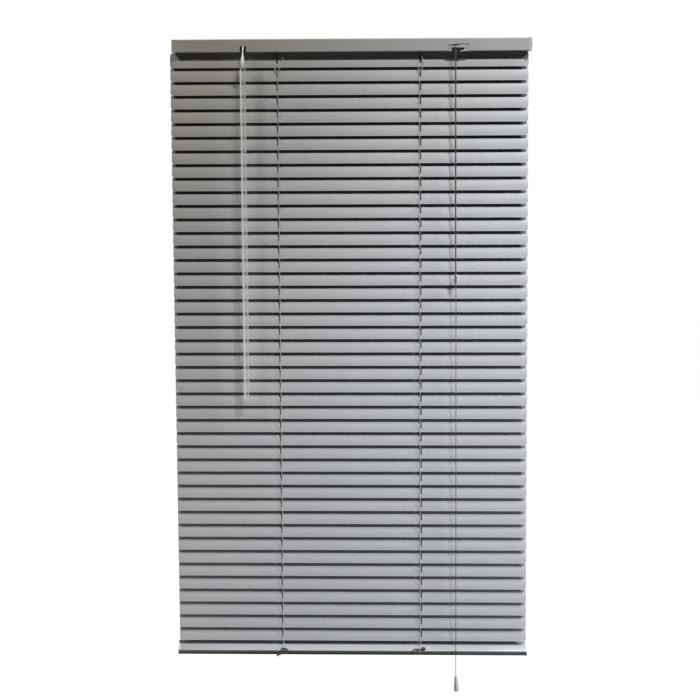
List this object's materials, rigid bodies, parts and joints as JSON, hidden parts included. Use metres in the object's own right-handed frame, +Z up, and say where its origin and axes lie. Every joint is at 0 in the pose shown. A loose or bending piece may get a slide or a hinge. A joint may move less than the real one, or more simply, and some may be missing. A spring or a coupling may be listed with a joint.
{
  "type": "venetian blinds",
  "caption": "Hanging blind of narrow curved metal slats on two ladder cords, with a headrail that holds the tilt gear and cord lock, a bottom rail, a clear tilt wand and a pull cord.",
  "frame": {"origin": "centre of the headrail's back face, where it meets the wall or its brackets", "axes": "+X to the right along the headrail, +Y towards the wall, +Z up"},
  "size_m": [0.5827, 0.0381, 1.0737],
  "materials": {
    "rail_metal": "satin silver-grey paint",
    "slat_metal": "satin silver coating",
    "inner_plastic": "moulded nylon",
    "rod_steel": "drawn steel",
    "stem_metal": "plated",
    "lock_metal": "satin silver paint",
    "clear_plastic": "clear acrylic",
    "cord_fibre": "braided polyester",
    "tassel_plastic": "milky clear plastic"
  },
  "bodies": {
    "headrail": {"headrail": "rail_metal", "drum_cradles": "inner_plastic", "tilter_housing": "inner_plastic", "cord_lock_frame": "lock_metal", "lift_cords": "cord_fibre", "pull_cord": "cord_fibre", "tassel": "tassel_plastic"},
    "cord_lock_roller": {"cord_lock_roller": "rod_steel"},
    "wand_sleeve": {"wand_sleeve": "clear_plastic"},
    "wand": {"wand": "clear_plastic"},
    "tilter_stem": {"tilter_stem": "stem_metal"},
    "tilt_rod": {"tilt_rod": "rod_steel", "rod_drums_and_gear": "inner_plastic"},
    "ladder_front": {"ladder_front_cords": "cord_fibre"},
    "ladder_rear": {"ladder_rear_cords": "cord_fibre"},
    "bottom_rail": {"bottom_rail": "rail_metal"},
    "slat_01": {"slat_01": "slat_metal"},
    "slat_02": {"slat_02": "slat_metal"},
    "slat_03": {"slat_03": "slat_metal"},
    "slat_04": {"slat_04": "slat_metal"},
    "slat_05": {"slat_05": "slat_metal"},
    "slat_06": {"slat_06": "slat_metal"},
    "slat_07": {"slat_07": "slat_metal"},
    "slat_08": {"slat_08": "slat_metal"},
    "slat_09": {"slat_09": "slat_metal"},
    "slat_10": {"slat_10": "slat_metal"},
    "slat_11": {"slat_11": "slat_metal"},
    "slat_12": {"slat_12": "slat_metal"},
    "slat_13": {"slat_13": "slat_metal"},
    "slat_14": {"slat_14": "slat_metal"},
    "slat_15": {"slat_15": "slat_metal"},
    "slat_16": {"slat_16": "slat_metal"},
    "slat_17": {"slat_17": "slat_metal"},
    "slat_18": {"slat_18": "slat_metal"},
    "slat_19": {"slat_19": "slat_metal"},
    "slat_20": {"slat_20": "slat_metal"},
    "slat_21": {"slat_21": "slat_metal"},
    "slat_22": {"slat_22": "slat_metal"},
    "slat_23": {"slat_23": "slat_metal"},
    "slat_24": {"slat_24": "slat_metal"},
    "slat_25": {"slat_25": "slat_metal"},
    "slat_26": {"slat_26": "slat_metal"},
    "slat_27": {"slat_27": "slat_metal"},
    "slat_28": {"slat_28": "slat_metal"},
    "slat_29": {"slat_29": "slat_metal"},
    "slat_30": {"slat_30": "slat_metal"},
    "slat_31": {"slat_31": "slat_metal"},
    "slat_32": {"slat_32": "slat_metal"},
    "slat_33": {"slat_33": "slat_metal"},
    "slat_34": {"slat_34": "slat_metal"},
    "slat_35": {"slat_35": "slat_metal"},
    "slat_36": {"slat_36": "slat_metal"},
    "slat_37": {"slat_37": "slat_metal"},
    "slat_38": {"slat_38": "slat_metal"},
    "slat_39": {"slat_39": "slat_metal"},
    "slat_40": {"slat_40": "slat_metal"},
    "slat_41": {"slat_41": "slat_metal"},
    "slat_42": {"slat_42": "slat_metal"},
    "slat_43": {"slat_43": "slat_metal"},
    "slat_44": {"slat_44": "slat_metal"}
  },
  "joints": [
    {"name": "wand_swing", "type": "hinge", "parent": "headrail", "child": "wand_sleeve", "pos_m": [-0.1736, -0.0335, -0.0205], "axis": [-1, 0, 0], "range_deg": [0, 50]},
    {"name": "wand_spin", "type": "hinge", "parent": "wand_sleeve", "child": "wand", "pos_m": [-0.1736, -0.0335, -0.0205], "axis": [0, 0, -1], "range_deg": [0, 2400]},
    {"name": "lock_roller_slide", "type": "slide", "parent": "headrail", "child": "cord_lock_roller", "axis": [0, 0.7431, 0.6691], "range_m": [0, 0.0024]},
    {"name": "stem_spin", "type": "hinge", "parent": "headrail", "child": "tilter_stem", "pos_m": [-0.1736, -0.0335, -0.0205], "axis": [0, -0.4617, -0.887], "range_deg": [0, 2400]},
    {"name": "rod_turn", "type": "hinge", "parent": "headrail", "child": "tilt_rod", "pos_m": [0, -0.0125, 0.001], "axis": [-1, 0, 0], "range_deg": [0, 240]},
    {"name": "slat_01_tilt", "type": "hinge", "parent": "headrail", "child": "slat_01", "pos_m": [-0.0044, -0.0125, -0.023], "axis": [-1, 0, 0], "range_deg": [0, 146]},
    {"name": "slat_02_tilt", "type": "hinge", "parent": "headrail", "child": "slat_02", "pos_m": [-0.0044, -0.0125, -0.045], "axis": [-1, 0, 0], "range_deg": [0, 146]},
    {"name": "slat_03_tilt", "type": "hinge", "parent": "headrail", "child": "slat_03", "pos_m": [-0.0044, -0.0125, -0.067], "axis": [-1, 0, 0], "range_deg": [0, 146]},
    {"name": "slat_04_tilt", "type": "hinge", "parent": "headrail", "child": "slat_04", "pos_m": [-0.0044, -0.0125, -0.089], "axis": [-1, 0, 0], "range_deg": [0, 146]},
    {"name": "slat_05_tilt", "type": "hinge", "parent": "headrail", "child": "slat_05", "pos_m": [-0.0044, -0.0125, -0.111], "axis": [-1, 0, 0], "range_deg": [0, 146]},
    {"name": "slat_06_tilt", "type": "hinge", "parent": "headrail", "child": "slat_06", "pos_m": [-0.0044, -0.0125, -0.133], "axis": [-1, 0, 0], "range_deg": [0, 146]},
    {"name": "slat_07_tilt", "type": "hinge", "parent": "headrail", "child": "slat_07", "pos_m": [-0.0044, -0.0125, -0.155], "axis": [-1, 0, 0], "range_deg": [0, 146]},
    {"name": "slat_08_tilt", "type": "hinge", "parent": "headrail", "child": "slat_08", "pos_m": [-0.0044, -0.0125, -0.177], "axis": [-1, 0, 0], "range_deg": [0, 146]},
    {"name": "slat_09_tilt", "type": "hinge", "parent": "headrail", "child": "slat_09", "pos_m": [-0.0044, -0.0125, -0.199], "axis": [-1, 0, 0], "range_deg": [0, 146]},
    {"name": "slat_10_tilt", "type": "hinge", "parent": "headrail", "child": "slat_10", "pos_m": [-0.0044, -0.0125, -0.221], "axis": [-1, 0, 0], "range_deg": [0, 146]},
    {"name": "slat_11_tilt", "type": "hinge", "parent": "headrail", "child": "slat_11", "pos_m": [-0.0044, -0.0125, -0.243], "axis": [-1, 0, 0], "range_deg": [0, 146]},
    {"name": "slat_12_tilt", "type": "hinge", "parent": "headrail", "child": "slat_12", "pos_m": [-0.0044, -0.0125, -0.265], "axis": [-1, 0, 0], "range_deg": [0, 146]},
    {"name": "slat_13_tilt", "type": "hinge", "parent": "headrail", "child": "slat_13", "pos_m": [-0.0044, -0.0125, -0.287], "axis": [-1, 0, 0], "range_deg": [0, 146]},
    {"name": "slat_14_tilt", "type": "hinge", "parent": "headrail", "child": "slat_14", "pos_m": [-0.0044, -0.0125, -0.309], "axis": [-1, 0, 0], "range_deg": [0, 146]},
    {"name": "slat_15_tilt", "type": "hinge", "parent": "headrail", "child": "slat_15", "pos_m": [-0.0044, -0.0125, -0.331], "axis": [-1, 0, 0], "range_deg": [0, 146]},
    {"name": "slat_16_tilt", "type": "hinge", "parent": "headrail", "child": "slat_16", "pos_m": [-0.0044, -0.0125, -0.353], "axis": [-1, 0, 0], "range_deg": [0, 146]},
    {"name": "slat_17_tilt", "type": "hinge", "parent": "headrail", "child": "slat_17", "pos_m": [-0.0044, -0.0125, -0.375], "axis": [-1, 0, 0], "range_deg": [0, 146]},
    {"name": "slat_18_tilt", "type": "hinge", "parent": "headrail", "child": "slat_18", "pos_m": [-0.0044, -0.0125, -0.397], "axis": [-1, 0, 0], "range_deg": [0, 146]},
    {"name": "slat_19_tilt", "type": "hinge", "parent": "headrail", "child": "slat_19", "pos_m": [-0.0044, -0.0125, -0.419], "axis": [-1, 0, 0], "range_deg": [0, 146]},
    {"name": "slat_20_tilt", "type": "hinge", "parent": "headrail", "child": "slat_20", "pos_m": [-0.0044, -0.0125, -0.441], "axis": [-1, 0, 0], "range_deg": [0, 146]},
    {"name": "slat_21_tilt", "type": "hinge", "parent": "headrail", "child": "slat_21", "pos_m": [-0.0044, -0.0125, -0.463], "axis": [-1, 0, 0], "range_deg": [0, 146]},
    {"name": "slat_22_tilt", "type": "hinge", "parent": "headrail", "child": "slat_22", "pos_m": [-0.0044, -0.0125, -0.485], "axis": [-1, 0, 0], "range_deg": [0, 146]},
    {"name": "slat_23_tilt", "type": "hinge", "parent": "headrail", "child": "slat_23", "pos_m": [-0.0044, -0.0125, -0.507], "axis": [-1, 0, 0], "range_deg": [0, 146]},
    {"name": "slat_24_tilt", "type": "hinge", "parent": "headrail", "child": "slat_24", "pos_m": [-0.0044, -0.0125, -0.529], "axis": [-1, 0, 0], "range_deg": [0, 146]},
    {"name": "slat_25_tilt", "type": "hinge", "parent": "headrail", "child": "slat_25", "pos_m": [-0.0044, -0.0125, -0.551], "axis": [-1, 0, 0], "range_deg": [0, 146]},
    {"name": "slat_26_tilt", "type": "hinge", "parent": "headrail", "child": "slat_26", "pos_m": [-0.0044, -0.0125, -0.573], "axis": [-1, 0, 0], "range_deg": [0, 146]},
    {"name": "slat_27_tilt", "type": "hinge", "parent": "headrail", "child": "slat_27", "pos_m": [-0.0044, -0.0125, -0.595], "axis": [-1, 0, 0], "range_deg": [0, 146]},
    {"name": "slat_28_tilt", "type": "hinge", "parent": "headrail", "child": "slat_28", "pos_m": [-0.0044, -0.0125, -0.617], "axis": [-1, 0, 0], "range_deg": [0, 146]},
    {"name": "slat_29_tilt", "type": "hinge", "parent": "headrail", "child": "slat_29", "pos_m": [-0.0044, -0.0125, -0.639], "axis": [-1, 0, 0], "range_deg": [0, 146]},
    {"name": "slat_30_tilt", "type": "hinge", "parent": "headrail", "child": "slat_30", "pos_m": [-0.0044, -0.0125, -0.661], "axis": [-1, 0, 0], "range_deg": [0, 146]},
    {"name": "slat_31_tilt", "type": "hinge", "parent": "headrail", "child": "slat_31", "pos_m": [-0.0044, -0.0125, -0.683], "axis": [-1, 0, 0], "range_deg": [0, 146]},
    {"name": "slat_32_tilt", "type": "hinge", "parent": "headrail", "child": "slat_32", "pos_m": [-0.0044, -0.0125, -0.705], "axis": [-1, 0, 0], "range_deg": [0, 146]},
    {"name": "slat_33_tilt", "type": "hinge", "parent": "headrail", "child": "slat_33", "pos_m": [-0.0044, -0.0125, -0.727], "axis": [-1, 0, 0], "range_deg": [0, 146]},
    {"name": "slat_34_tilt", "type": "hinge", "parent": "headrail", "child": "slat_34", "pos_m": [-0.0044, -0.0125, -0.749], "axis": [-1, 0, 0], "range_deg": [0, 146]},
    {"name": "slat_35_tilt", "type": "hinge", "parent": "headrail", "child": "slat_35", "pos_m": [-0.0044, -0.0125, -0.771], "axis": [-1, 0, 0], "range_deg": [0, 146]},
    {"name": "slat_36_tilt", "type": "hinge", "parent": "headrail", "child": "slat_36", "pos_m": [-0.0044, -0.0125, -0.793], "axis": [-1, 0, 0], "range_deg": [0, 146]},
    {"name": "slat_37_tilt", "type": "hinge", "parent": "headrail", "child": "slat_37", "pos_m": [-0.0044, -0.0125, -0.815], "axis": [-1, 0, 0], "range_deg": [0, 146]},
    {"name": "slat_38_tilt", "type": "hinge", "parent": "headrail", "child": "slat_38", "pos_m": [-0.0044, -0.0125, -0.837], "axis": [-1, 0, 0], "range_deg": [0, 146]},
    {"name": "slat_39_tilt", "type": "hinge", "parent": "headrail", "child": "slat_39", "pos_m": [-0.0044, -0.0125, -0.859], "axis": [-1, 0, 0], "range_deg": [0, 146]},
    {"name": "slat_40_tilt", "type": "hinge", "parent": "headrail", "child": "slat_40", "pos_m": [-0.0044, -0.0125, -0.881], "axis": [-1, 0, 0], "range_deg": [0, 146]},
    {"name": "slat_41_tilt", "type": "hinge", "parent": "headrail", "child": "slat_41", "pos_m": [-0.0044, -0.0125, -0.903], "axis": [-1, 0, 0], "range_deg": [0, 146]},
    {"name": "slat_42_tilt", "type": "hinge", "parent": "headrail", "child": "slat_42", "pos_m": [-0.0044, -0.0125, -0.925], "axis": [-1, 0, 0], "range_deg": [0, 146]},
    {"name": "slat_43_tilt", "type": "hinge", "parent": "headrail", "child": "slat_43", "pos_m": [-0.0044, -0.0125, -0.947], "axis": [-1, 0, 0], "range_deg": [0, 146]},
    {"name": "slat_44_tilt", "type": "hinge", "parent": "headrail", "child": "slat_44", "pos_m": [-0.0044, -0.0125, -0.969], "axis": [-1, 0, 0], "range_deg": [0, 146]},
    {"name": "ladder_front_level", "type": "hinge", "parent": "slat_01", "child": "ladder_front", "pos_m": [-0.0044, -0.01691, -0.03744], "axis": [1, 0, 0], "range_deg": [0, 146]},
    {"name": "ladder_rear_level", "type": "hinge", "parent": "slat_01", "child": "ladder_rear", "pos_m": [-0.0044, -0.00809, -0.00856], "axis": [1, 0, 0], "range_deg": [0, 146]},
    {"name": "bottom_rail_tilt", "type": "hinge", "parent": "headrail", "child": "bottom_rail", "pos_m": [-0.0047, -0.0125, -0.994], "axis": [-1, 0, 0], "range_deg": [0, 56]}
  ],
  "couplings": [
    {"joint": "stem_spin", "follows": "wand_spin", "ratio": 1},
    {"joint": "rod_turn", "follows": "wand_spin", "ratio": 0.1},
    {"joint": "slat_01_tilt", "follows": "wand_spin", "ratio": 0.060833},
    {"joint": "slat_02_tilt", "follows": "wand_spin", "ratio": 0.060833},
    {"joint": "slat_03_tilt", "follows": "wand_spin", "ratio": 0.060833},
    {"joint": "slat_04_tilt", "follows": "wand_spin", "ratio": 0.060833},
    {"joint": "slat_05_tilt", "follows": "wand_spin", "ratio": 0.060833},
    {"joint": "slat_06_tilt", "follows": "wand_spin", "ratio": 0.060833},
    {"joint": "slat_07_tilt", "follows": "wand_spin", "ratio": 0.060833},
    {"joint": "slat_08_tilt", "follows": "wand_spin", "ratio": 0.060833},
    {"joint": "slat_09_tilt", "follows": "wand_spin", "ratio": 0.060833},
    {"joint": "slat_10_tilt", "follows": "wand_spin", "ratio": 0.060833},
    {"joint": "slat_11_tilt", "follows": "wand_spin", "ratio": 0.060833},
    {"joint": "slat_12_tilt", "follows": "wand_spin", "ratio": 0.060833},
    {"joint": "slat_13_tilt", "follows": "wand_spin", "ratio": 0.060833},
    {"joint": "slat_14_tilt", "follows": "wand_spin", "ratio": 0.060833},
    {"joint": "slat_15_tilt", "follows": "wand_spin", "ratio": 0.060833},
    {"joint": "slat_16_tilt", "follows": "wand_spin", "ratio": 0.060833},
    {"joint": "slat_17_tilt", "follows": "wand_spin", "ratio": 0.060833},
    {"joint": "slat_18_tilt", "follows": "wand_spin", "ratio": 0.060833},
    {"joint": "slat_19_tilt", "follows": "wand_spin", "ratio": 0.060833},
    {"joint": "slat_20_tilt", "follows": "wand_spin", "ratio": 0.060833},
    {"joint": "slat_21_tilt", "follows": "wand_spin", "ratio": 0.060833},
    {"joint": "slat_22_tilt", "follows": "wand_spin", "ratio": 0.060833},
    {"joint": "slat_23_tilt", "follows": "wand_spin", "ratio": 0.060833},
    {"joint": "slat_24_tilt", "follows": "wand_spin", "ratio": 0.060833},
    {"joint": "slat_25_tilt", "follows": "wand_spin", "ratio": 0.060833},
    {"joint": "slat_26_tilt", "follows": "wand_spin", "ratio": 0.060833},
    {"joint": "slat_27_tilt", "follows": "wand_spin", "ratio": 0.060833},
    {"joint": "slat_28_tilt", "follows": "wand_spin", "ratio": 0.060833},
    {"joint": "slat_29_tilt", "follows": "wand_spin", "ratio": 0.060833},
    {"joint": "slat_30_tilt", "follows": "wand_spin", "ratio": 0.060833},
    {"joint": "slat_31_tilt", "follows": "wand_spin", "ratio": 0.060833},
    {"joint": "slat_32_tilt", "follows": "wand_spin", "ratio": 0.060833},
    {"joint": "slat_33_tilt", "follows": "wand_spin", "ratio": 0.060833},
    {"joint": "slat_34_tilt", "follows": "wand_spin", "ratio": 0.060833},
    {"joint": "slat_35_tilt", "follows": "wand_spin", "ratio": 0.060833},
    {"joint": "slat_36_tilt", "follows": "wand_spin", "ratio": 0.060833},
    {"joint": "slat_37_tilt", "follows": "wand_spin", "ratio": 0.060833},
    {"joint": "slat_38_tilt", "follows": "wand_spin", "ratio": 0.060833},
    {"joint": "slat_39_tilt", "follows": "wand_spin", "ratio": 0.060833},
    {"joint": "slat_40_tilt", "follows": "wand_spin", "ratio": 0.060833},
    {"joint": "slat_41_tilt", "follows": "wand_spin", "ratio": 0.060833},
    {"joint": "slat_42_tilt", "follows": "wand_spin", "ratio": 0.060833},
    {"joint": "slat_43_tilt", "follows": "wand_spin", "ratio": 0.060833},
    {"joint": "slat_44_tilt", "follows": "wand_spin", "ratio": 0.060833},
    {"joint": "ladder_front_level", "follows": "wand_spin", "ratio": 0.060833},
    {"joint": "ladder_rear_level", "follows": "wand_spin", "ratio": 0.060833},
    {"joint": "bottom_rail_tilt", "follows": "wand_spin", "ratio": 0.023333}
  ]
}
